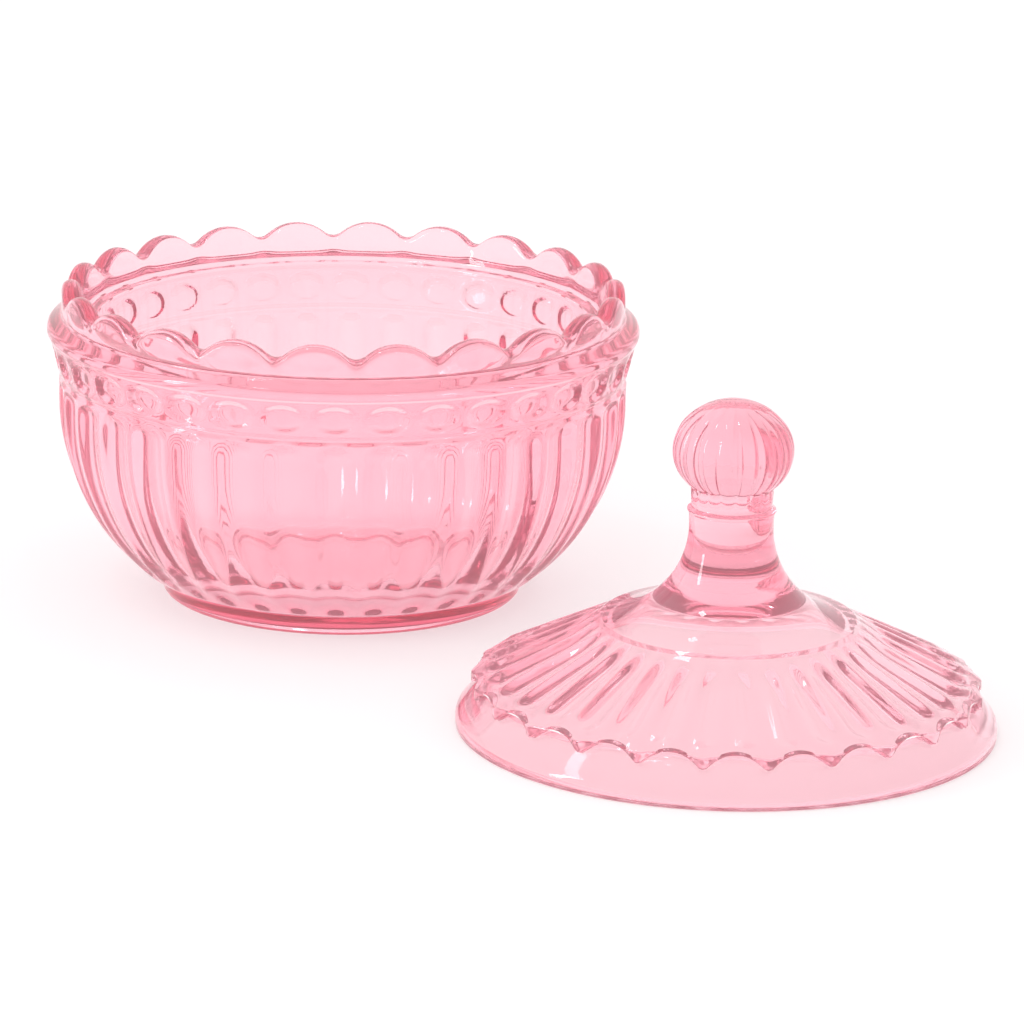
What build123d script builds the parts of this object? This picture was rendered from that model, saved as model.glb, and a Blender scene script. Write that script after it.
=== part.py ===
# Depression glass candy dish: a pressed glass bowl and its pressed glass lid, standing side by side.
#
# Frame: millimetres, +Z up, the table is Z = 0. The bowl's axis is the Z axis, and the lid's axis
# stands at X = lid_reach. Every radius and height of the bowl is measured from the bowl's own foot,
# and every one of the lid from the lid's own rim.

import os
from math import acos, asin, atan2, cos, degrees, radians, sin, sqrt

from build123d import *

os.makedirs("parts", exist_ok=True)

# ---------------------------------------------------------------- driving dimensions
# bowl, overall
ledge_radius = 75.0        # the round ledge under the scalloped gallery, the widest place
bowl_height = 80.0         # foot to the crest of a scallop

# bowl, outside, from the top down
gallery_setback = 3.9      # the gallery stands this far in from the ledge
gallery_rise = 8.4         # gallery root to scallop crest
brow_rise = 3.0            # top of the ledge's upright edge to the gallery's root
brow_width = 1.8           # the ledge's rounded shoulder
brow_drop = 1.3            # how far the shoulder ends under the gallery's root
brow_round = 2.4           # its rounding
ledge_edge = 1.4           # height of the ledge's upright edge
ledge_chamfer = 0.6        # small slope under that edge
band_height = 11.1         # the flaring band that carries the thumbprints
band_overhang = 3.1        # how far the band flares out over the fluted wall
bead_depth = 0.7           # groove between the flutes and the band
upright_wall = 7.5         # the wall is upright this far below the band
foot_radius = 45.6
foot_height = 5.6
foot_edge = 1.6            # rounding of the foot's lower edge
foot_draft = 0.6           # how far the foot widens upwards
foot_step = 3.9            # the wall starts this far out from the foot's edge
foot_ring = 5.5            # width of the flat ring that stands on the table
foot_recess = 1.0          # how far the underside inside that ring is raised

# bowl, gallery: the scalloped collar round the lid
gallery_wall = 4.6
gallery_taper = 1.2        # how much thicker its wall is at the seat
scallop_depth = 3.6        # crest to valley
scallop_count = 22
scallop_turn = 13.2        # angle of the first valley from +X

# bowl, inside
floor_thickness = 8.0
side_wall = 9.5            # upright wall to the smooth inside, flutes uncut
inside_corner = 33.0       # radius between the inside wall and the floor
seat_drop = 1.1            # the ledge that the lid sits on, below the gallery's root

# bowl, pressed pattern
flute_count = 36
flute_radius = 5.5
flute_depth = 2.0
flute_top_gap = 5.5        # centre of a flute's round top end, below the band
flute_foot_gap = 9.4       # centre of its lower end, above the foot
thumbprint_radius = 7.5    # the ball that dishes each print
thumbprint_depth = 1.3
print_inset = 0.3          # how far the flaring band lies inside its mean radius at a print
pattern_turn = 0.0         # angle of the first flute and thumbprint from +X

# lid, from the top down
lid_height = 79.2          # rim to the top of the knob
knob_radius = 14.2
knob_half_height = 12.2
cheek_radius = 10.5        # the knob's side, rounder than its crown
neck_radius = 9.5
stem_to_knob = 14.8        # top of the stem to the knob's middle
stem_radius = 10.0         # just under the collar
stem_bow = 6.6             # how far the flare is hollowed from a straight line
collar_radius = 10.6
collar_height = 1.6
collar_round = 0.5         # slope at the collar's top and bottom
ring_radius = 31.0         # the small step between skirt and stem
ring_height = 25.6
ring_step = 0.9
skirt_height = 11.2        # upper edge of the border, where the skirt's slope ends
skirt_proud = 1.1          # how far the scalloped border stands out from the rim wall
border_drop = 2.8          # skirt's edge to a border tip
border_depth = 3.1         # border tip to the top of an arch
border_count = 25
border_turn = 2.8          # angle of the first arch from +X
border_root = 0.5          # how far the border is sunk into the rim wall
tip_width = 0.8            # width left on a border tip
rim_flange = 3.5           # the rim stands this far out from the border
rim_edge = 1.8             # height of the rim's upright edge
rim_chamfer = 0.5
rim_ring = 3.2             # width of the flat ring under the rim
rim_relief = 0.4           # small slope outside that ring
lid_wall = 4.0             # skirt and rim thickness
hollow_radius = 17.0       # edge of the hollow's ceiling, under the stem
hollow_height = 29.6       # height of that edge
hollow_dome = 2.0          # how far the ceiling rises to the axis

# lid, pressed pattern
lid_flute_count = 36
lid_flute_depth = 1.1
lid_flute_inner_radius = 3.0
lid_flute_outer_radius = 5.0
lid_flute_inner_gap = 3.0  # a flute's inner end, out from the ring
lid_flute_outer_gap = 5.5  # its outer end, in from the border
lid_turn = 2.0             # angle of the first skirt flute from +X
knob_flute_count = 18
knob_flute_radius = 2.4
knob_flute_depth = 0.4

# fits
seat_bearing = 1.6         # how much of the lid's rim lies on the seat
gallery_clearance = 1.4    # lid rim to the gallery's inside, all round
stand_gap = 7.1            # bowl's ledge to lid's rim, as the two stand on a table

# ---------------------------------------------------------------- sizes that follow from the others
gallery_radius = ledge_radius - gallery_setback
gallery_inner_radius = gallery_radius - gallery_wall
gallery_root_height = bowl_height - gallery_rise
ledge_height = gallery_root_height - brow_rise
band_top = ledge_height - ledge_edge
band_foot = ledge_height - band_height
belly_height = band_foot - upright_wall
belly_radius = ledge_radius - band_overhang
seat_height = gallery_root_height - seat_drop
seat_outer_radius = gallery_inner_radius - gallery_taper

rim_radius = seat_outer_radius - gallery_clearance
seat_edge_radius = rim_radius - seat_bearing
skirt_radius = rim_radius - rim_flange
wall_radius = skirt_radius - skirt_proud
lid_reach = ledge_radius + stand_gap + rim_radius

# The fluted wall is one arc that starts over the foot and ends upright at the belly.
foot_join = foot_radius + foot_step
wall_rise = belly_height - foot_height
wall_run = belly_radius - foot_join
belly_curve = (wall_run**2 + wall_rise**2) / (2 * wall_run)
wall_centre_radius = belly_radius - belly_curve

inside_radius = belly_radius - side_wall
inside_curve_height = floor_thickness + inside_corner


def scallop_pitch(radius, count):
    """Straight distance between neighbouring scallops on a circle."""
    return 2 * radius * sin(radians(180 / count))


# ---------------------------------------------------------------- bowl, cutters for the pressed pattern
flute_arc = belly_curve + flute_radius - flute_depth
flute_path_radius = wall_centre_radius + flute_arc
flute_top = band_foot - flute_top_gap
flute_foot = foot_height + flute_foot_gap
flute_foot_angle = degrees(asin((belly_height - flute_foot) / flute_arc))

with BuildPart() as bowl_flute_maker:
    with BuildLine() as flute_path:
        with BuildLine(Plane.XZ):
            low = CenterArc(
                (wall_centre_radius, belly_height),
                flute_arc,
                -flute_foot_angle,
                flute_foot_angle,
            )
            Line(low @ 1, (flute_path_radius, flute_top))
    with BuildSketch(Plane(low @ 0, z_dir=low % 0)):
        Circle(flute_radius)
    sweep(path=flute_path.line)
    with Locations(low @ 0, (flute_path_radius, 0, flute_top)):
        Sphere(flute_radius)
bowl_flute = bowl_flute_maker.part

print_height = (band_foot + band_top) / 2
print_surface = (belly_radius + ledge_radius) / 2 - print_inset
with BuildPart() as thumbprint_maker:
    with Locations((print_surface + thumbprint_radius - thumbprint_depth, 0, print_height)):
        Sphere(thumbprint_radius)
thumbprint = thumbprint_maker.part

# One valley between two round scallops: a radial bar whose underside is a cusp.
valley_half = scallop_pitch(gallery_radius, scallop_count) / 2
with BuildPart() as gallery_valley_maker:
    with BuildSketch(Plane.YZ):
        with BuildLine():
            valley = (0, bowl_height - scallop_depth)
            left = TangentArc((-valley_half, bowl_height), valley, tangent=(1, 0))
            right = TangentArc((valley_half, bowl_height), valley, tangent=(-1, 0))
            Polyline(
                left @ 0,
                (-valley_half, bowl_height + scallop_depth),
                (valley_half, bowl_height + scallop_depth),
                right @ 0,
            )
        make_face()
    extrude(amount=ledge_radius)
gallery_valley = gallery_valley_maker.part

# ---------------------------------------------------------------- bowl
foot_flat = foot_radius - foot_edge
with BuildPart() as bowl:
    with BuildSketch(Plane.XZ):
        with BuildLine():
            Polyline(
                (0, foot_recess),
                (foot_flat - foot_ring, foot_recess),
                (foot_flat - foot_ring, 0),
                (foot_flat, 0),
            )
            foot = RadiusArc((foot_flat, 0), (foot_radius, foot_edge), -foot_edge)
            Polyline(foot @ 1, (foot_radius + foot_draft, foot_height), (foot_join, foot_height))
            wall = RadiusArc((foot_join, foot_height), (belly_radius, belly_height), -belly_curve)
            Polyline(
                wall @ 1,
                (belly_radius, band_foot - 2 * bead_depth),
                (belly_radius - bead_depth, band_foot - bead_depth),
                (belly_radius, band_foot),
                (ledge_radius - ledge_chamfer, band_top - ledge_chamfer),
                (ledge_radius, band_top),
                (ledge_radius, ledge_height),
            )
            brow = RadiusArc(
                (ledge_radius, ledge_height),
                (ledge_radius - brow_width, gallery_root_height - brow_drop),
                brow_round,
            )
            Polyline(
                brow @ 1,
                (gallery_radius, gallery_root_height),
                (gallery_radius, bowl_height),
                (gallery_inner_radius, bowl_height),
                (seat_outer_radius, gallery_root_height),
                (seat_outer_radius, seat_height),
                (seat_edge_radius, seat_height),
                (inside_radius, belly_height),
                (inside_radius, inside_curve_height),
            )
            corner = RadiusArc(
                (inside_radius, inside_curve_height),
                (inside_radius - inside_corner, floor_thickness),
                inside_corner,
            )
            Polyline(corner @ 1, (0, floor_thickness), (0, foot_recess))
        make_face()
    revolve(axis=Axis.Z)

    # scalloped top of the gallery
    with PolarLocations(0, scallop_count, start_angle=scallop_turn):
        add(gallery_valley, mode=Mode.SUBTRACT)
    # thumbprints round the band, and a flute under each
    with PolarLocations(0, flute_count, start_angle=pattern_turn):
        add(bowl_flute, mode=Mode.SUBTRACT)
        add(thumbprint, mode=Mode.SUBTRACT)

bowl.part.label = "bowl"
export_step(bowl.part, "parts/bowl.step")

# ---------------------------------------------------------------- lid, made on its own axis
lid_slope = (skirt_height - ring_height) / (skirt_radius - ring_radius)
border_tip = skirt_height - border_drop
knob_centre_height = lid_height - knob_half_height
stem_height = knob_centre_height - stem_to_knob
flare_start = (stem_radius, stem_height)
flare_end = (ring_radius - ring_step, ring_height + ring_step)
rim_flat = rim_radius - rim_relief

# The knob's outline is two arcs that run into each other: the crown, centred on the axis, and the cheek.
cheek_centre = knob_radius - cheek_radius
crown_rise = knob_half_height - cheek_radius
crown_radius = (cheek_centre**2 + knob_half_height**2 - cheek_radius**2) / (2 * crown_rise)
crown_centre = lid_height - crown_radius
crown_angle = degrees(atan2(knob_centre_height - crown_centre, cheek_centre))
neck_angle = -degrees(acos((neck_radius - cheek_centre) / cheek_radius))

# The hollow's ceiling is a shallow dome centred on the axis.
ceiling_curve = (hollow_radius**2 + hollow_dome**2) / (2 * hollow_dome)
ceiling_centre = hollow_height + hollow_dome - ceiling_curve
ceiling_angle = degrees(atan2(hollow_height - ceiling_centre, hollow_radius))

with BuildPart() as lid_turned:
    with BuildSketch(Plane.XZ):
        with BuildLine():
            Line((0, hollow_height + hollow_dome), (0, lid_height))
            CenterArc((0, crown_centre), crown_radius, 90, crown_angle - 90)
            cheek = CenterArc(
                (cheek_centre, knob_centre_height),
                cheek_radius,
                crown_angle,
                neck_angle - crown_angle,
            )
            Polyline(
                cheek @ 1,
                (neck_radius, stem_height + collar_height),
                (collar_radius, stem_height + collar_height - collar_round),
                (collar_radius, stem_height + collar_round),
                flare_start,
            )
            flare = SagittaArc(flare_start, flare_end, -stem_bow)
            Polyline(
                flare @ 1,
                (ring_radius, ring_height),
                (wall_radius, skirt_height - skirt_proud * lid_slope),
                (wall_radius, border_tip),
                (rim_radius - rim_chamfer, rim_edge + rim_chamfer),
                (rim_radius, rim_edge),
                (rim_radius, rim_relief),
                (rim_flat, 0),
                (rim_flat - rim_ring, 0),
                (wall_radius - lid_wall, skirt_height - lid_wall),
                (ring_radius, ring_height - lid_wall),
                (hollow_radius, hollow_height),
            )
            CenterArc((0, ceiling_centre), ceiling_curve, ceiling_angle, 90 - ceiling_angle)
        make_face()
    revolve(axis=Axis.Z)

# ---------------------------------------------------------------- lid, cutters for the pressed pattern
# The border's arches are cut from a thin ring, which then joins the lid, so the rim wall stays whole.
arch_half = (scallop_pitch(skirt_radius, border_count) - tip_width) / 2
with BuildPart() as border_arch_maker:
    with BuildSketch(Plane.YZ):
        with BuildLine():
            arch = ThreePointArc((-arch_half, border_tip), (0, border_tip + border_depth), (arch_half, border_tip))
            Line(arch @ 1, arch @ 0)
        make_face()
    extrude(amount=ledge_radius)
border_arch = border_arch_maker.part

root_radius = wall_radius - border_root
with BuildPart() as border:
    with BuildSketch(Plane.XZ):
        Polygon(
            (root_radius, border_tip),
            (skirt_radius, border_tip),
            (skirt_radius, skirt_height),
            (root_radius, skirt_height + (root_radius - skirt_radius) * lid_slope),
            align=None,
        )
    revolve(axis=Axis.Z)
    with PolarLocations(0, border_count, start_angle=border_turn):
        add(border_arch, mode=Mode.SUBTRACT)

# A skirt flute is a slim cone lying along the slope, with a ball at each end.
flute_inner = Vector(ring_radius + lid_flute_inner_gap, 0, ring_height + lid_flute_inner_gap * lid_slope)
flute_outer = Vector(skirt_radius - lid_flute_outer_gap, 0, skirt_height - lid_flute_outer_gap * lid_slope)
flute_line = flute_outer - flute_inner
flute_up = Vector(-flute_line.Z, 0, flute_line.X).normalized()
cone_low = flute_inner + flute_up * (lid_flute_inner_radius - lid_flute_depth)
cone_high = flute_outer + flute_up * (lid_flute_outer_radius - lid_flute_depth)

with BuildPart() as lid_flute_maker:
    with Locations(Plane(origin=cone_low, z_dir=cone_high - cone_low)):
        Cone(
            lid_flute_inner_radius,
            lid_flute_outer_radius,
            (cone_high - cone_low).length,
            align=(Align.CENTER, Align.CENTER, Align.MIN),
        )
    with Locations(cone_low):
        Sphere(lid_flute_inner_radius)
    with Locations(cone_high):
        Sphere(lid_flute_outer_radius)
lid_flute = lid_flute_maker.part

# A knob flute is a bent rod that follows the knob's side, from under its middle to near its top.
rod_side = knob_radius + knob_flute_radius - knob_flute_depth
rod_height = knob_half_height + knob_flute_radius - knob_flute_depth
rod_stations = [
    (rod_side * cos(radians(a)), knob_centre_height + rod_height * sin(radians(a))) for a in (-40, 0, 60)
]
with BuildPart() as knob_flute_maker:
    with BuildLine(Plane.XZ) as rod_path:
        rod = ThreePointArc(*rod_stations)
    with BuildSketch(Plane(rod @ 0, z_dir=rod % 0)):
        Circle(knob_flute_radius)
    sweep(path=rod_path.line)
knob_flute = knob_flute_maker.part

with BuildPart() as lid_on_axis:
    add(lid_turned.part)
    add(border.part)
    with PolarLocations(0, lid_flute_count, start_angle=lid_turn):
        add(lid_flute, mode=Mode.SUBTRACT)
    with PolarLocations(0, knob_flute_count, start_angle=lid_turn):
        add(knob_flute, mode=Mode.SUBTRACT)

with BuildPart() as lid:
    with Locations((lid_reach, 0, 0)):
        add(lid_on_axis.part)
lid.part.label = "lid"
export_step(lid.part, "parts/lid.step")
print("bowl", round(bowl.part.volume), bowl.part.is_valid)
print("lid", round(lid.part.volume), lid.part.is_valid)
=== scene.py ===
# %% [markdown]
# # A pressed pink glass candy dish and its lid
#
# Pressed glass is made in one stroke: a gob of hot glass drops into an iron mould, and a plunger
# presses it out against the mould's wall. So the bowl is one piece of glass, smooth inside where
# the plunger was, and patterned outside where the mould was. The lid is another. The flame that
# polishes the pieces afterwards rounds every edge, which is why nothing here has a sharp corner.
#
# The design holds each piece's sizes and place. This file loads it as a frame, and makes
# the glass around it: first the camera and the light, then the material, then the two pieces.

# %% Load the frame
import math

import bmesh
import bpy
from mathutils import Matrix, Vector


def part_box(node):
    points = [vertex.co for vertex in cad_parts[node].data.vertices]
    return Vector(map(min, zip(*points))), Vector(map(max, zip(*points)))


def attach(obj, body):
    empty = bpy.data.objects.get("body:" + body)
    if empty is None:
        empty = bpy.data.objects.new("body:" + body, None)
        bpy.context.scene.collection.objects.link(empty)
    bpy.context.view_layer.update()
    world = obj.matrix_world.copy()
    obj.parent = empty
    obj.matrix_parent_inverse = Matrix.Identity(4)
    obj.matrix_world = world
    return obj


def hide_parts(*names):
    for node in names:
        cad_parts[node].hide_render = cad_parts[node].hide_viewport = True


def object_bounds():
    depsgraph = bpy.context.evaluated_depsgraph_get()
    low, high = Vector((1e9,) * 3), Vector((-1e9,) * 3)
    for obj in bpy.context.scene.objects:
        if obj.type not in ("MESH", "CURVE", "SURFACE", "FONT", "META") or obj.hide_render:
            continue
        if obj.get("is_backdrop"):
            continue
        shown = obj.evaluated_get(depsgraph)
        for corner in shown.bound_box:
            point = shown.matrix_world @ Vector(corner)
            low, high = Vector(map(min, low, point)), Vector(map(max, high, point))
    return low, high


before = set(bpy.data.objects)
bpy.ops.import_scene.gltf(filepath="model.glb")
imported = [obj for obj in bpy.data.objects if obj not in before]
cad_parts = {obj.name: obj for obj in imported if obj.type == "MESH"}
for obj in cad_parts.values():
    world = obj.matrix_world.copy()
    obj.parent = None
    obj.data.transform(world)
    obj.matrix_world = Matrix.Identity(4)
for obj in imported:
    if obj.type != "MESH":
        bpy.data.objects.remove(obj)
frame_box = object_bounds()
MM = 0.001
bowl_low, bowl_high = (Vector(corner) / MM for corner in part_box("bowl"))
lid_low, lid_high = (Vector(corner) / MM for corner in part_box("lid"))
lid_axis = (lid_low + lid_high) / 2
print("bowl", [round(v, 1) for v in bowl_high - bowl_low], "mm")
print("lid", [round(v, 1) for v in lid_high - lid_low], "mm, axis at x =", round(lid_axis.x, 1))

# %% [markdown]
# ## Camera
#
# Small glass is photographed from well back with a long lens, so that round rims stay round.
# The camera stands to the front right of the row, a little above the rim, and looks down at it.

# %% Place the camera
scene = bpy.context.scene
camera_data = bpy.data.cameras.new("camera")
camera_data.sensor_width = 36.0
camera_data.lens = 182.8
camera = bpy.data.objects.new("camera", camera_data)
scene.collection.objects.link(camera)
scene.camera = camera

camera_place = Vector((1.0027, -0.7964, 0.3774))
camera_turn = math.radians(49.6)
camera_pitch = math.radians(15.6)
camera_roll = math.radians(1.0)
aim = (
    Matrix.Rotation(camera_turn, 4, "Z")
    @ Matrix.Rotation(math.pi / 2 - camera_pitch, 4, "X")
    @ Matrix.Rotation(camera_roll, 4, "Z")
)
camera.matrix_world = Matrix.Translation(camera_place) @ aim
print("camera stands", round(camera_place.length, 2), "m from the bowl")

# %% [markdown]
# ## Table and light
#
# Clear glass shows what is around it. On a white table under broad soft light, each piece is
# drawn by its own colour alone: pale where the glass is thin, deep where the eye looks along it.
# The table is opal acrylic lit from below, as studios use for glass, so that the light under the
# bowl and the lid doesn't go grey. Its faint pink is painted light: the pink that the glass throws
# on the table, which shows only where the table lies in shade. Softboxes brighter than the room
# give the streaks on the rims.

# %% Lay the floor
def linear(hex_colour):
    """An sRGB colour such as "fbc8d0" as the linear red, green, blue that a shader works in."""
    channels = [int(hex_colour[i : i + 2], 16) / 255 for i in (0, 2, 4)]
    return [c / 12.92 if c <= 0.04045 else ((c + 0.055) / 1.055) ** 2.4 for c in channels]


def add_node(tree, kind, settings=(), links=()):
    """A node of one kind, with its sockets or properties set and its inputs linked."""
    node = tree.nodes.new(kind)
    for name, value in dict(settings).items():
        if name in node.inputs:
            node.inputs[name].default_value = value
        else:
            setattr(node, name, value)
    for name, source in dict(links).items():
        tree.links.new(source, node.inputs[name])
    return node


def new_material(name):
    material = bpy.data.materials.new(name)
    material.use_nodes = True
    material.node_tree.nodes.clear()
    return material


table_half = 6.0         # metres
floor_mesh = bmesh.new()
bmesh.ops.create_grid(floor_mesh, x_segments=1, y_segments=1, size=table_half)
floor_data = bpy.data.meshes.new("table")
floor_mesh.to_mesh(floor_data)
floor_mesh.free()
floor = bpy.data.objects.new("table", floor_data)
scene.collection.objects.link(floor)
floor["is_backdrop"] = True

opal = new_material("opal_acrylic")
opal_tree = opal.node_tree
opal_shader = add_node(
    opal_tree,
    "ShaderNodeBsdfPrincipled",
    {
        # a faint pink: painted light from the glass, seen only where the table is in shade
        "Base Color": (*linear("cfc8c9"), 1.0),
        "Roughness": 0.8,
        "Specular IOR Level": 0.1,
        "Emission Color": (1.0, 1.0, 1.0, 1.0),
        "Emission Strength": 0.43,
    },
)
add_node(opal_tree, "ShaderNodeOutputMaterial", links={"Surface": opal_shader.outputs["BSDF"]})
floor_data.materials.append(opal)
print("table", 2 * table_half, "m wide, at height", floor.location.z)

# %% Hang the lights
scene.view_settings.view_transform = "Standard"
world = bpy.data.worlds.new("white_room")
world.use_nodes = True
scene.world = world
background = world.node_tree.nodes["Background"]
background.inputs["Color"].default_value = (1.0, 1.0, 1.0, 1.0)
background.inputs["Strength"].default_value = 1.0


def softbox(name, place, target, size, watts):
    data = bpy.data.lights.new(name, "AREA")
    data.shape = "RECTANGLE"
    data.size, data.size_y = size
    data.energy = watts
    light = bpy.data.objects.new(name, data)
    scene.collection.objects.link(light)
    place, target = Vector(place), Vector(target)
    turn = (target - place).to_track_quat("-Z", "Y").to_matrix().to_4x4()
    light.matrix_world = Matrix.Translation(place) @ turn
    print(name, "at", [round(v, 2) for v in place])


middle = (0.07, 0.0, 0.04)
softbox("tall_softbox", (-0.16, -0.66, 0.30), middle, (0.09, 0.40), 1.0)
softbox("overhead_softbox", (-0.12, -0.38, 1.15), middle, (0.12, 0.12), 0.6)

# %% [markdown]
# ## Pink pressed glass
#
# The pink of this glass is in its whole thickness, put there by a trace of selenium in the melt.
# Most of the colour is what the glass takes out of the light on its way through, in so much per
# millimetre: thin walls come out pale, thick rims and edges deep. A light tint wherever a ray
# crosses the surface adds the colour of the many short paths that a thin wall sends round.
#
# Light can run inside pressed glass for dozens of turns before it comes out. A render stops
# sooner, and would leave grey specks there. A faint pink glow stands for the light that is lost.
#
# The surface is fire-polished but not optical. Waves about 28 mm long and a tenth of a millimetre
# high are left from the mould, and patches of fine wear, about 9 mm across, dull the shine.

# %% Mix the glass
green_per_mm = 0.0205    # how much green light a millimetre of the glass takes out
blue_per_mm = 0.0158
red_per_mm = 0.0022
absorbed = Vector((red_per_mm, green_per_mm, blue_per_mm)) / MM
density = 24.0           # more than any of these, so that each absorbed / density is under 1
wave_length, wave_height = 28 * MM, 0.12 * MM
wear_size = 9 * MM

glass = new_material("pressed_pink_glass")
glass_tree = glass.node_tree
glass_place = add_node(glass_tree, "ShaderNodeTexCoord")
ripple = add_node(
    glass_tree,
    "ShaderNodeTexNoise",
    {"Scale": 1 / wave_length, "Detail": 1.0},
    {"Vector": glass_place.outputs["Object"]},
)
ripple_bump = add_node(
    glass_tree,
    "ShaderNodeBump",
    {"Strength": 1.0, "Distance": wave_height},
    {"Height": ripple.outputs["Fac"]},
)
wear = add_node(
    glass_tree,
    "ShaderNodeTexNoise",
    {"Scale": 1 / wear_size, "Detail": 3.0},
    {"Vector": glass_place.outputs["Object"]},
)
wear_range = add_node(
    glass_tree,
    "ShaderNodeMapRange",
    {"From Min": 0.35, "From Max": 0.75, "To Min": 0.01, "To Max": 0.06},
    {"Value": wear.outputs["Fac"]},
)
glass_surface = add_node(
    glass_tree,
    "ShaderNodeBsdfPrincipled",
    {
        "Base Color": (*linear("fdeaee"), 1.0),
        "Transmission Weight": 0.95,
        "IOR": 1.5,
        "Emission Color": (*linear("ffa9ba"), 1.0),
        "Emission Strength": 0.062,
    },
    {"Roughness": wear_range.outputs["Result"], "Normal": ripple_bump.outputs["Normal"]},
)
glass_depth = add_node(
    glass_tree,
    "ShaderNodeVolumeAbsorption",
    {"Color": (*(1 - a / density for a in absorbed), 1.0), "Density": density},
)
add_node(
    glass_tree,
    "ShaderNodeOutputMaterial",
    links={"Surface": glass_surface.outputs["BSDF"], "Volume": glass_depth.outputs["Volume"]},
)
print("5 mm of glass lets through", [round(math.exp(-a * 5 * MM), 2) for a in absorbed])

# %% [markdown]
# ## Turning a piece from its outline
#
# Both pieces are round, so each starts as half of its cross-section, drawn once and spun about
# the axis. The outline is a list of corners, each with the radius that the fire polish gave it.
# Each point carries its station, a number that goes round with every copy of it, so that the
# pattern can later be pressed into one part of the wall and not into the inside across from it.

# %% Draw and spin an outline
steps = 432              # round the axis: twelve to each of 36 flutes
parts = 16               # spun as a sixteenth, which is then doubled four times
usual_spacing = 2.5      # between points of an outline, where its zone gives no other
arc_spacing = 0.6        # between points of a rounded corner, along it
arc_turn = 0.35          # and in radians
touching = 1e-3          # nearer than this to each other or to the axis, points are one
print("each outline is turned in", steps, "steps, the first", steps // parts, "of them spun")


def rounded(corners, spacing):
    """Points along an outline of (radius, height, rounding, zone) corners.

    Spacing says how far apart they may be in each zone.
    """
    points = []

    def run_to(place, zone):
        if points:
            last = points[-1][0]
            count = math.ceil((place - last).length / spacing.get(zone, usual_spacing))
            for i in range(1, count):
                points.append((last.lerp(place, i / count), zone))
        points.append((place, zone))

    for index, (radius, height, rounding, zone) in enumerate(corners):
        here = Vector((radius, height))
        if rounding == 0:
            run_to(here, zone)
            continue
        before = Vector(corners[index - 1][:2]) - here
        after = Vector(corners[index + 1][:2]) - here
        half = before.angle(after) / 2
        back = rounding / math.tan(half)
        inwards = (before.normalized() + after.normalized()).normalized()
        centre = here + inwards * rounding / math.sin(half)
        start = here + before.normalized() * back
        end = here + after.normalized() * back
        run_to(start, zone)
        sweep = (start - centre).angle_signed(end - centre)
        along, turn = abs(sweep) * rounding / arc_spacing, abs(sweep) / arc_turn
        count = max(2, math.ceil(along), math.ceil(turn))
        for i in range(1, count + 1):
            arm = (start - centre).copy()
            arm.rotate(Matrix.Rotation(-sweep * i / count, 2))
            points.append((centre + arm, corners[index + 1][3] if i == count else zone))
    return points


def turned(points):
    """A bmesh of the outline turned about Z, and the zone of each station along the outline."""
    zones = []
    shape = bmesh.new()
    station = shape.verts.layers.int.new("station")
    last = None
    for place, zone in points:
        vertex = shape.verts.new((max(place.x, 0.0), 0.0, place.y))
        vertex[station] = len(zones)
        zones.append(zone)
        if last:
            shape.edges.new((last, vertex))
        last = vertex
    bmesh.ops.spin(
        shape,
        geom=shape.verts[:] + shape.edges[:],
        axis=(0, 0, 1),
        cent=(0, 0, 0),
        steps=steps // parts,
        angle=math.tau / parts,
    )
    for doubling in range(parts.bit_length() - 1):
        made = math.tau / parts * 2**doubling
        copy = bmesh.ops.duplicate(shape, geom=shape.verts[:] + shape.edges[:] + shape.faces[:])
        copied = [e for e in copy["geom"] if isinstance(e, bmesh.types.BMVert)]
        bmesh.ops.rotate(shape, verts=copied, cent=(0, 0, 0), matrix=Matrix.Rotation(made, 3, "Z"))
    bmesh.ops.remove_doubles(shape, verts=shape.verts[:], dist=touching)
    loose = [edge for edge in shape.edges if not edge.link_faces]
    bmesh.ops.delete(shape, geom=loose, context="EDGES")
    bmesh.ops.recalc_face_normals(shape, faces=shape.faces[:])
    return shape, station, zones


def finish_piece(shape, name, axis_x, body):
    """The spun and pressed shape as a finished glass piece, standing on its axis."""
    bmesh.ops.translate(shape, verts=shape.verts[:], vec=(axis_x, 0, 0))
    bmesh.ops.scale(shape, verts=shape.verts[:], vec=(MM, MM, MM))
    for face in shape.faces:
        face.smooth = True
    open_edges = sum(1 for edge in shape.edges if len(edge.link_faces) != 2)
    data = bpy.data.meshes.new(name)
    shape.to_mesh(data)
    shape.free()
    piece = bpy.data.objects.new(name, data)
    scene.collection.objects.link(piece)
    data.materials.append(glass)
    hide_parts(body)
    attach(piece, body)
    data.calc_loop_triangles()
    print(name, len(data.loop_triangles), "triangles,", open_edges, "open edges")


# %% [markdown]
# ## Scallops, flutes and thumbprints
#
# A pressed pattern is a wave round the piece. Two round arcs, a wide crest and a tight valley,
# that run into each other make a scalloped edge. A flute or a thumbprint is a hollow that is
# deepest in its middle and runs out at its rim.

# %% Helpers for pressed patterns
def from_nearest(angle, count, turn):
    """Degrees from an angle to the nearest of so many marks, the first of them at turn."""
    pitch = 360 / count
    return (angle - turn + pitch / 2) % pitch - pitch / 2


def scallop_drop(across, pitch, depth, valley_radius):
    """How far a scalloped edge lies under its crests, at a distance from the nearest crest."""
    half = pitch / 2
    both = (half**2 + depth**2) / (2 * depth)
    crest_radius = both - valley_radius
    across = abs(across)
    if across < half * crest_radius / both:
        return crest_radius - math.sqrt(crest_radius**2 - across**2)
    return depth - valley_radius + math.sqrt(valley_radius**2 - (half - across) ** 2)


def hollow(sharpness, *offsets):
    """1 in the middle of a hollow and 0 at its rim, each offset being 1 at the rim."""
    out = sum(o * o for o in offsets)
    if out >= 1:
        return 0.0
    return 1 - out**3 if sharpness == "crisp" else (1 - out) ** 1.8


def ease(value, start, end):
    """0 before start, 1 after end, and a smooth rise between them."""
    t = min(1.0, max(0.0, (value - start) / (end - start)))
    return t * t * (3 - 2 * t)


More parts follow.
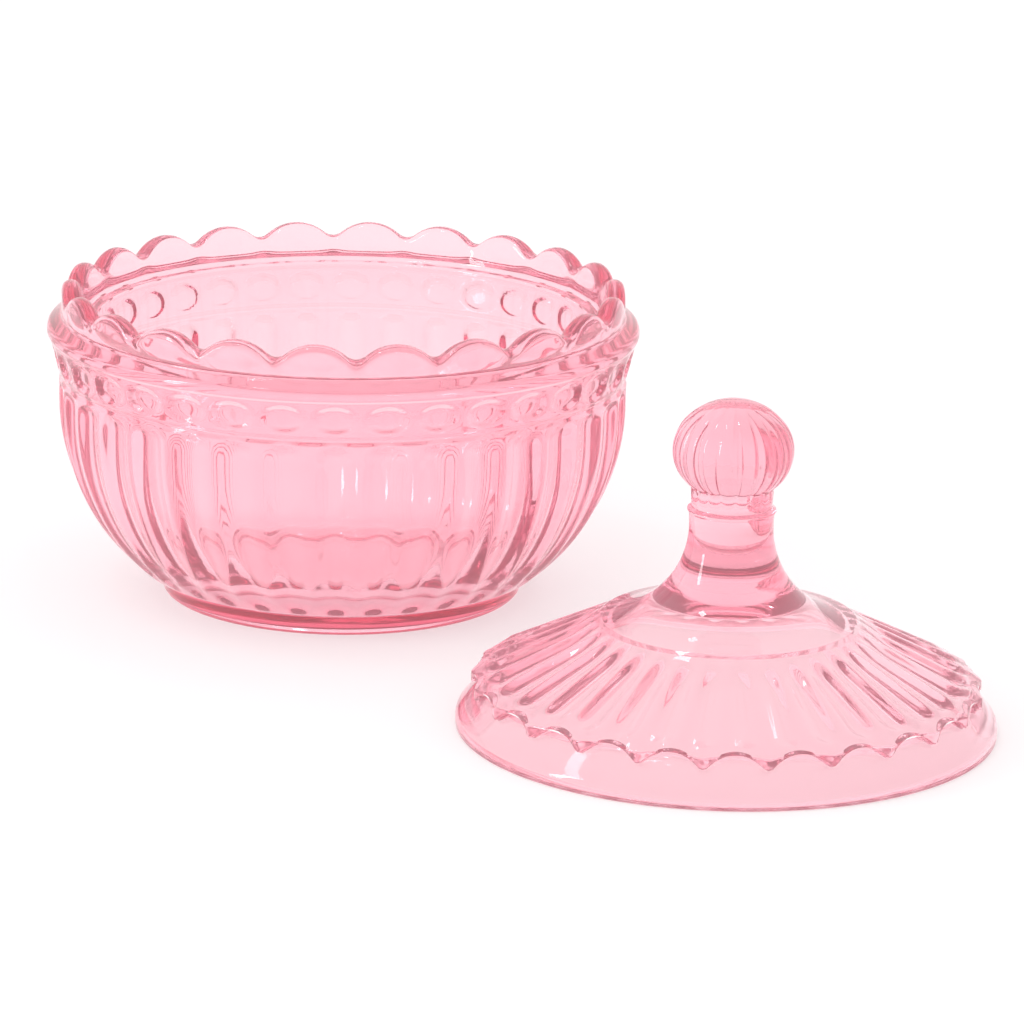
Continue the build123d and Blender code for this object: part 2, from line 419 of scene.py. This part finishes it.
halfway = (round(hollow(kind, 0.5), 2) for kind in ("crisp", "soft"))
print("halfway out, a crisp and a soft hollow keep", *halfway, "of their depth")


# %% [markdown]
# ## The bowl
#
# The outline goes from the middle of the underside, out round the foot, up the fluted wall,
# over the ledge and the gallery that holds the lid, and down the smooth inside to the floor.

# %% Draw the bowl's outline
ledge = bowl_high.x              # the ledge is the widest place
crest = bowl_high.z              # the top of the scallops
belly, belly_height, belly_curve = 71.9, 50.0, 55.2
band_foot = 57.5
ledge_top = 68.6
gallery, gallery_wall = 71.1, 4.6
gallery_root = 71.6
seat_height, seat_edge, seat_outer = 70.5, 62.3, 65.3
inside, inside_corner, floor_top = 62.4, 33.0, 8.0
foot, foot_height = 45.6, 5.6

wall_centre = Vector((belly - belly_curve, belly_height))
foot_join = wall_centre.x + math.sqrt(belly_curve**2 - (belly_height - foot_height) ** 2)


def arc_corners(centre, radius, start, end, count, zone):
    """Points of an arc of a large curve, as unrounded corners."""
    corners = []
    for i in range(count + 1):
        a = start + (end - start) * i / count
        corners.append((centre.x + radius * math.cos(a), centre.y + radius * math.sin(a), 0, zone))
    return corners


wall_start = -math.asin((belly_height - foot_height - 1.2) / belly_curve)
inside_centre = Vector((inside - inside_corner, floor_top + inside_corner))
bowl_corners = [
    (0, 1.0, 0, "under"),
    (foot - 7.6, 1.0, 0.8, "under"),
    (foot - 6.8, 0.0, 0.8, "under"),
    (foot, 0.0, 1.8, "foot"),
    (foot + 0.9, foot_height - 0.4, 0.4, "foot"),
    (foot_join - 0.2, foot_height + 0.4, 0.5, "foot"),
    *arc_corners(wall_centre, belly_curve, wall_start, 0, 40, "wall"),
    (belly, band_foot - 2.0, 0.9, "wall"),
    (belly - 0.6, band_foot - 0.8, 0.7, "wall"),
    (belly + 0.2, band_foot + 0.5, 0.7, "band"),
    (ledge - 0.8, ledge_top - 1.9, 0.5, "band"),
    (ledge, ledge_top - 0.9, 1.3, "ledge"),
    (ledge - 0.3, ledge_top + 1.1, 2.0, "ledge"),
    (gallery + 0.1, gallery_root, 0.9, "ledge"),
    (gallery, crest, 2.2, "gallery"),
    (gallery - gallery_wall, crest, 2.2, "gallery"),
    (seat_outer, seat_height, 1.2, "gallery_inside"),
    (seat_edge, seat_height, 0.8, "inside"),
    (inside, belly_height, 0, "inside"),
    *arc_corners(inside_centre, inside_corner, 0, -math.pi / 2, 16, "inside"),
    (0, floor_top, 0, "inside"),
]
bowl_points = rounded(
    bowl_corners,
    {"wall": 1.15, "band": 0.6, "gallery": 0.9, "gallery_inside": 1.2, "inside": 5.0, "under": 8.0},
)
print(len(bowl_points), "points round the bowl's outline")

# %% Press the bowl's pattern
scallops, first_crest = 22, 5.0          # angles are in degrees, from +X
scallop_depth, scallop_pitch = 3.6, math.tau * gallery / scallops
valley_radius = 3.8
lift_start, lift_end = gallery_root + 0.4, crest - 2.4
flutes, first_flute = 36, 0.0
flute_wide, flute_depth = 4.8, 2.0       # half its width, in degrees
flute_top, flute_top_fade = 52.0, 4.2
flute_low, flute_low_fade = 11.5, 5.0
shallow, shallow_foot, shallow_end = 0.6, 12.0, 34.0   # flutes are shallower near the foot
print_height, print_tall, print_wide = 62.3, 3.5, 4.3
print_depth = 1.1

bowl_shape, station, zones = turned(bowl_points)
for vertex in bowl_shape.verts:
    radius = math.hypot(vertex.co.x, vertex.co.y)
    if radius < touching:
        continue
    angle = math.degrees(math.atan2(vertex.co.y, vertex.co.x))
    height = vertex.co.z
    zone = zones[vertex[station]]
    inward = 0.0
    if zone in ("wall", "foot") and height > foot_height:
        across = from_nearest(angle, flutes, first_flute) / flute_wide
        above, below = max(0.0, height - flute_top), max(0.0, flute_low - height)
        past = above / flute_top_fade or below / flute_low_fade
        fade = shallow + (1 - shallow) * ease(height, shallow_foot, shallow_end)
        inward = flute_depth * fade * hollow("soft", across, past)
    elif zone == "band":
        across = from_nearest(angle, flutes, first_flute) / print_wide
        inward = print_depth * hollow("crisp", across, (height - print_height) / print_tall)
    lift = min(1.0, max(0.0, (height - lift_start) / (lift_end - lift_start)))
    if lift and zone in ("gallery", "gallery_inside", "ledge"):
        across = math.radians(from_nearest(angle, scallops, first_crest)) * gallery
        vertex.co.z -= scallop_drop(across, scallop_pitch, scallop_depth, valley_radius) * lift
    shrink = (radius - inward) / radius
    vertex.co.x *= shrink
    vertex.co.y *= shrink
finish_piece(bowl_shape, "glass_bowl", 0.0, "bowl")

# %% [markdown]
# ## The lid
#
# The lid stands on its rim beside the bowl. Its skirt stands proud of the flange and ends above
# it in a scalloped border. The plunger's hollow reaches up to a low dome under the stem, so the
# stem and the knob are solid. The knob has its own shallow flutes, seen as soft stripes.

# %% Draw the lid's outline
rim = (lid_high.x - lid_low.x) / 2
skirt, skirt_height, skirt_proud = 60.4, 11.2, 0.8
border_tip, border_depth, border_lean = 8.4, 3.1, 0.42
ring, ring_height = 31.0, 25.6
stem, stem_height = 10.0, 52.2
collar, neck = 10.6, 9.5
knob, knob_half, knob_centre = 14.2, 12.2, 67.0
lid_wall = 4.0
ceiling_edge, ceiling_height, ceiling_rise = 17.0, 30.6, 1.6
ceiling_round = 2.5                      # the hollow is rounded over this far in from its edge
cheek = 10.5


def bow(start, end, sagitta, count, zone):
    """Points of an arc between two points that bows out from the line between them."""
    start, end = Vector(start), Vector(end)
    chord = end - start
    side = Vector((-chord.y, chord.x)).normalized()
    radius = (chord.length**2 / 4 + sagitta**2) / (2 * sagitta)
    centre = (start + end) / 2 + side * (sagitta - radius)
    first = start - centre
    sweep = first.angle_signed(end - centre)
    points = []
    for i in range(1, count):
        arm = first.copy()
        arm.rotate(Matrix.Rotation(-sweep * i / count, 2))
        points.append((centre.x + arm.x, centre.y + arm.y, 0, zone))
    return points


cheek_centre = Vector((knob - cheek, knob_centre))
crown_radius = (cheek_centre.x**2 + knob_half**2 - cheek**2) / (2 * (knob_half - cheek))
crown_centre = Vector((0, knob_centre + knob_half - crown_radius))
crown_angle = math.atan2(knob_centre - crown_centre.y, cheek_centre.x)
neck_angle = -math.acos((neck + 0.3 - cheek_centre.x) / cheek)
flare_start, flare_end = (stem, stem_height - 0.8), (ring - 0.9, ring_height + 0.9)
ceiling_curve = (ceiling_edge**2 + ceiling_rise**2) / (2 * ceiling_rise)
ceiling_centre = Vector((0, ceiling_height + ceiling_rise - ceiling_curve))
ceiling_start = math.atan2(ceiling_height - ceiling_centre.y, ceiling_edge - ceiling_round)
flange_root = Vector((skirt - skirt_proud - 0.6, border_tip + 0.1))
flange_foot = Vector((rim - 0.1, 3.0))
lid_corners = [
    *arc_corners(crown_centre, crown_radius, math.pi / 2, crown_angle, 12, "knob"),
    *arc_corners(cheek_centre, cheek, crown_angle, neck_angle, 22, "knob")[1:],
    (neck, stem_height + 2.4, 0.8, "collar"),
    (neck + 0.1, stem_height + 1.6, 0.5, "collar"),
    (collar, stem_height + 0.8, 0.5, "collar"),
    (stem + 0.1, stem_height, 0.4, "collar"),
    (*flare_start, 0, "stem"),
    *bow(flare_start, flare_end, -6.6, 22, "stem"),
    (*flare_end, 0.6, "stem"),
    (ring, ring_height, 0.5, "skirt"),
    (skirt, skirt_height, 0.9, "skirt"),
    (skirt, border_tip, 0.45, "border"),
    (*flange_root, 0.25, "border"),
    (*flange_foot, 3.0, "rim_wall"),
    (rim, 0.0, 0.5, "rim"),
    (rim - 3.6, 0.0, 0.8, "rim"),
    (skirt - skirt_proud - lid_wall, skirt_height - lid_wall, 3.0, "under"),
    (ring, ring_height - lid_wall, 4.0, "under"),
    (ceiling_edge, ceiling_height, 2.0, "under"),
    *arc_corners(ceiling_centre, ceiling_curve, ceiling_start, math.pi / 2, 8, "under"),
]
lid_points = rounded(
    lid_corners,
    {"skirt": 1.5, "border": 0.5, "rim_wall": 0.9, "under": 2.5, "knob": 2.0, "stem": 2.0},
)
print(len(lid_points), "points round the lid's outline")

# %% Press the lid's pattern
first_lid_flute = 2.0
lid_flute_depth, lid_flute_wide = 1.5, 4.6
flute_inner, flute_outer, flute_outer_fade = 39.0, 53.0, 4.5
knob_flutes, knob_flute_depth = 18, 0.5
crown_plain, crown_fluted = 2.0, 0.8 * knob   # the knob's flutes run out towards its top
arches, first_arch = 25, 2.8
arch_pitch, arch_valley = math.tau * skirt / arches, 1.6
arch_low = 4.5                           # the arches leave the flange alone under this height
arch_inner, arch_full = skirt - 3.5, skirt - skirt_proud - 0.2   # and rise over these radii
lean_inner, lean_full = skirt - 5.0, skirt - 1.2
upper_share = 0.15                       # how much of an arch is left at the border's upper edge
rim_taper = (flange_foot.x - flange_root.x) / (flange_root.y - flange_foot.y)

lid_shape, station, zones = turned(lid_points)
for vertex in lid_shape.verts:
    radius = math.hypot(vertex.co.x, vertex.co.y)
    if radius < touching:
        continue
    angle = math.degrees(math.atan2(vertex.co.y, vertex.co.x))
    height = vertex.co.z
    zone = zones[vertex[station]]
    inward = 0.0
    if zone == "skirt":
        across = from_nearest(angle, flutes, first_lid_flute) / lid_flute_wide
        past = max(0.0, radius - flute_outer) / flute_outer_fade
        fade = ease(radius, ring, flute_inner)
        vertex.co.z -= lid_flute_depth * fade * hollow("soft", across, past)
    if zone == "knob":
        across = math.radians(from_nearest(angle, knob_flutes, first_lid_flute) * knob_flutes / 2)
        side = ease(radius, crown_plain, crown_fluted)
        inward = knob_flute_depth * side * (1 - abs(math.sin(across))) ** 1.5
    if zone in ("border", "rim_wall", "skirt") and height > arch_low:
        across = math.radians(from_nearest(angle, arches, first_arch)) * skirt
        rise = border_depth - scallop_drop(across, arch_pitch, border_depth, arch_valley)
        if zone == "rim_wall":
            share = ease(height, arch_low, border_tip)
            inward += rim_taper * rise * share
        else:
            share = 1 - (1 - upper_share) * ease(height, border_tip, skirt_height)
            share *= ease(radius, arch_inner, arch_full)
            root = 0.0 if zone == "skirt" else ease(radius, skirt, skirt - skirt_proud)
            lean = border_lean + (rim_taper - border_lean) * root
            inward += lean * rise * ease(radius, lean_inner, lean_full)
        vertex.co.z += rise * share
    shrink = (radius - inward) / radius
    vertex.co.x *= shrink
    vertex.co.y *= shrink
finish_piece(lid_shape, "glass_lid", lid_axis.x, "lid")

# %% [markdown]
# ## Print the sizes and finish
#
# The glass has to fill the design's box and no more, so both boxes are written down side by side.

# %% Write the sizes and finish
made_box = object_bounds()
for side, cad, made in zip("xyz", zip(*frame_box), zip(*made_box)):
    print(side, "design", [round(v / MM, 2) for v in cad], "made", [round(v / MM, 2) for v in made])
